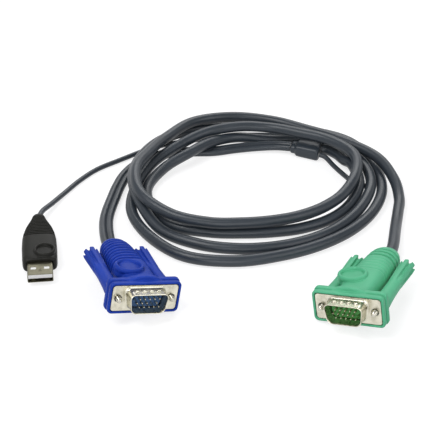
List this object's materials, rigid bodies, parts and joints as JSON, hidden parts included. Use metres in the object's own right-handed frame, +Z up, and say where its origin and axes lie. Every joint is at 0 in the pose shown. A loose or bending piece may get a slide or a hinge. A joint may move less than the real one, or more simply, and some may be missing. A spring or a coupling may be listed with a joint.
{
  "type": "kvm cable",
  "caption": "Coiled switch cable: a round cable from a green D plug to a Y splitter, with a twin lead to a blue D plug and a thin lead to a flat plug.",
  "frame": {"origin": "on the resting surface, at the middle of the cable's footprint", "axes": "+Z up, -Y towards the three plugs, +X to the green plug's side"},
  "size_m": [0.1927, 0.1939, 0.0224],
  "materials": {
    "grey_jacket": "satin",
    "blue_overmould": "satin",
    "green_overmould": "satin",
    "black_overmould": "satin",
    "nickel_plate": "satin",
    "screw_steel": "satin",
    "pin_plating": "polished",
    "blue_insulator": "satin",
    "green_insulator": "satin",
    "white_tongue": "satin"
  },
  "bodies": {
    "cable": {"blue_housing": "blue_overmould", "blue_shell": "nickel_plate", "blue_insulator": "blue_insulator", "blue_pin_1": "pin_plating", "blue_pin_2": "pin_plating", "blue_pin_3": "pin_plating", "blue_pin_4": "pin_plating", "blue_pin_5": "pin_plating", "blue_pin_6": "pin_plating", "blue_pin_7": "pin_plating", "blue_pin_8": "pin_plating", "blue_pin_10": "pin_plating", "blue_pin_11": "pin_plating", "blue_pin_12": "pin_plating", "blue_pin_13": "pin_plating", "blue_pin_14": "pin_plating", "blue_pin_15": "pin_plating", "green_housing": "green_overmould", "green_shell": "nickel_plate", "green_insulator": "green_insulator", "green_pin_1": "pin_plating", "green_pin_2": "pin_plating", "green_pin_3": "pin_plating", "green_pin_4": "pin_plating", "green_pin_5": "pin_plating", "green_pin_6": "pin_plating", "green_pin_7": "pin_plating", "green_pin_8": "pin_plating", "green_pin_9": "pin_plating", "green_pin_10": "pin_plating", "green_pin_11": "pin_plating", "green_pin_12": "pin_plating", "green_pin_13": "pin_plating", "green_pin_14": "pin_plating", "green_pin_15": "pin_plating", "usb_overmould": "black_overmould", "usb_shell": "nickel_plate", "usb_tongue": "white_tongue", "usb_contact_1": "pin_plating", "usb_contact_2": "pin_plating", "usb_contact_3": "pin_plating", "usb_contact_4": "pin_plating", "splitter": "grey_jacket", "main_cable": "grey_jacket", "vga_branch": "grey_jacket", "usb_branch": "grey_jacket"},
    "blue_thumbscrew_l": {"blue_grip_l": "blue_overmould", "blue_screw_l": "screw_steel"},
    "blue_thumbscrew_r": {"blue_grip_r": "blue_overmould", "blue_screw_r": "screw_steel"},
    "green_thumbscrew_l": {"green_grip_l": "green_overmould", "green_screw_l": "screw_steel"},
    "green_thumbscrew_r": {"green_grip_r": "green_overmould", "green_screw_r": "screw_steel"}
  },
  "joints": [
    {"name": "blue_thumbscrew_l_turn", "type": "hinge", "parent": "cable", "child": "blue_thumbscrew_l", "pos_m": [-0.04491, -0.08474, 0.01452], "axis": [0.3692, -0.9231, 0.108], "continuous": true},
    {"name": "blue_thumbscrew_r_turn", "type": "hinge", "parent": "cable", "child": "blue_thumbscrew_r", "pos_m": [-0.02209, -0.07626, 0.00889], "axis": [0.3692, -0.9231, 0.108], "continuous": true},
    {"name": "green_thumbscrew_l_turn", "type": "hinge", "parent": "cable", "child": "green_thumbscrew_l", "pos_m": [0.04539, -0.08264, 0.00862], "axis": [-0.4521, -0.8873, 0.0906], "continuous": true},
    {"name": "green_thumbscrew_r_turn", "type": "hinge", "parent": "cable", "child": "green_thumbscrew_r", "pos_m": [0.06741, -0.09336, 0.01358], "axis": [-0.4521, -0.8873, 0.0906], "continuous": true}
  ]
}
